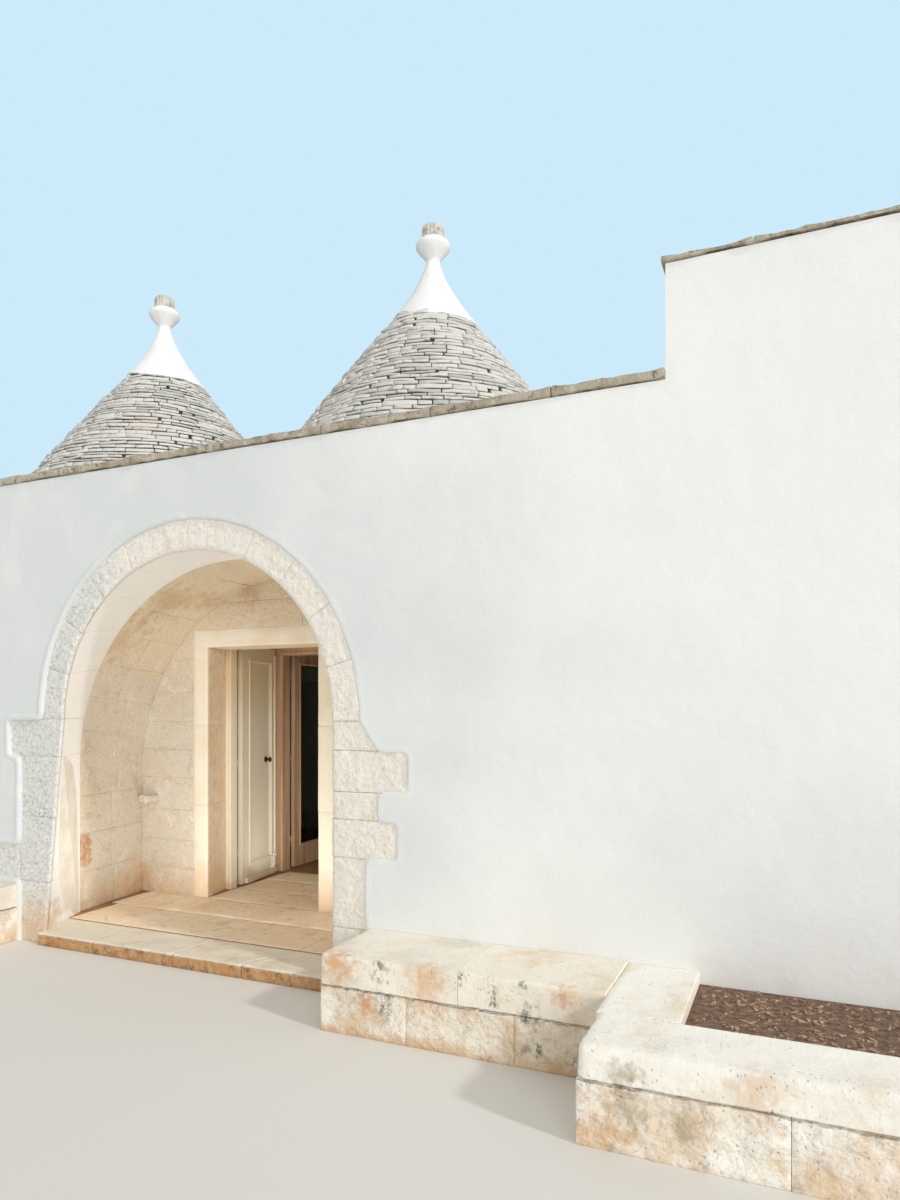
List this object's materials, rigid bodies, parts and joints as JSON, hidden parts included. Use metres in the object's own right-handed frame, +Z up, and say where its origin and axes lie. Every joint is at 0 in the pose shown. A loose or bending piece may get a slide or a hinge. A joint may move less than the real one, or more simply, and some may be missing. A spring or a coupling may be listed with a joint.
{
  "type": "trullo house",
  "caption": "Whitewashed stone house with corbelled stone cones, a vaulted porch behind a round stone portal, paired doors that swing, stone benches and a planter.",
  "frame": {"origin": "on the ground, under the middle of the stone portal, in the plane of the facade", "axes": "+X along the facade to the right, +Y into the house, +Z up"},
  "size_m": [14.44, 8.35, 7.19],
  "materials": {
    "lime_plaster": "matte limewash",
    "porch_limestone": "rough dressed",
    "floor_slab_stone": "worn",
    "coping_stone": "weathered",
    "grey_roof_stone": "split",
    "cream_paint": "satin paint",
    "dark_bronze": "dark patina",
    "brown_wood": "satin varnish",
    "glass": "clear",
    "bench_limestone": "worn, stained",
    "soil": "loose"
  },
  "bodies": {
    "house": {"back_wall": "lime_plaster", "bench_left": "bench_limestone", "bench_right": "bench_limestone", "cone_caps": "lime_plaster", "cone_left_back": "grey_roof_stone", "cone_left_front": "grey_roof_stone", "cone_right_back": "grey_roof_stone", "cone_right_front": "grey_roof_stone", "cross_wall": "lime_plaster", "crown_stones": "grey_roof_stone", "door_surround": "porch_limestone", "door_wall_left": "porch_limestone", "door_wall_over": "lime_plaster", "door_wall_right": "porch_limestone", "front_wall_left": "lime_plaster", "inner_door_frame": "brown_wood", "left_wall": "lime_plaster", "middle_wall": "lime_plaster", "outer_door_frame": "cream_paint", "planter_soil": "soil", "planter_wall": "bench_limestone", "porch_floor": "floor_slab_stone", "porch_kerb": "floor_slab_stone", "porch_vault": "porch_limestone", "porch_wall_left": "porch_limestone", "porch_wall_right": "porch_limestone", "portal_arch": "porch_limestone", "portal_jamb_left": "porch_limestone", "portal_jamb_right": "porch_limestone", "portal_wall": "lime_plaster", "raised_coping": "coping_stone", "raised_front_wall": "lime_plaster", "raised_roof": "lime_plaster", "raised_side_wall": "lime_plaster", "right_wall": "lime_plaster", "room_floor": "floor_slab_stone", "terrace_coping": "coping_stone", "terrace_roof": "lime_plaster"},
    "outer_left_leaf": {"outer_door_left": "cream_paint", "outer_door_knob": "dark_bronze"},
    "outer_right_leaf": {"outer_door_right": "cream_paint"},
    "inner_left_leaf": {"inner_door_left": "brown_wood", "inner_glass_left": "glass"},
    "inner_right_leaf": {"inner_door_right": "brown_wood", "inner_glass_right": "glass"}
  },
  "joints": [
    {"name": "outer_left_hinge", "type": "hinge", "parent": "house", "child": "outer_left_leaf", "pos_m": [-0.962, 1.717, 0.35], "axis": [0, 0, 1], "range_deg": [-98, 0]},
    {"name": "outer_right_hinge", "type": "hinge", "parent": "house", "child": "outer_right_leaf", "pos_m": [0.282, 1.717, 0.35], "axis": [0, 0, 1], "range_deg": [0, 98]},
    {"name": "inner_left_hinge", "type": "hinge", "parent": "house", "child": "inner_left_leaf", "pos_m": [-0.997, 2.577, 0.35], "axis": [0, 0, 1], "range_deg": [-90, 0]},
    {"name": "inner_right_hinge", "type": "hinge", "parent": "house", "child": "inner_right_leaf", "pos_m": [0.317, 2.577, 0.35], "axis": [0, 0, 1], "range_deg": [0, 90]}
  ]
}
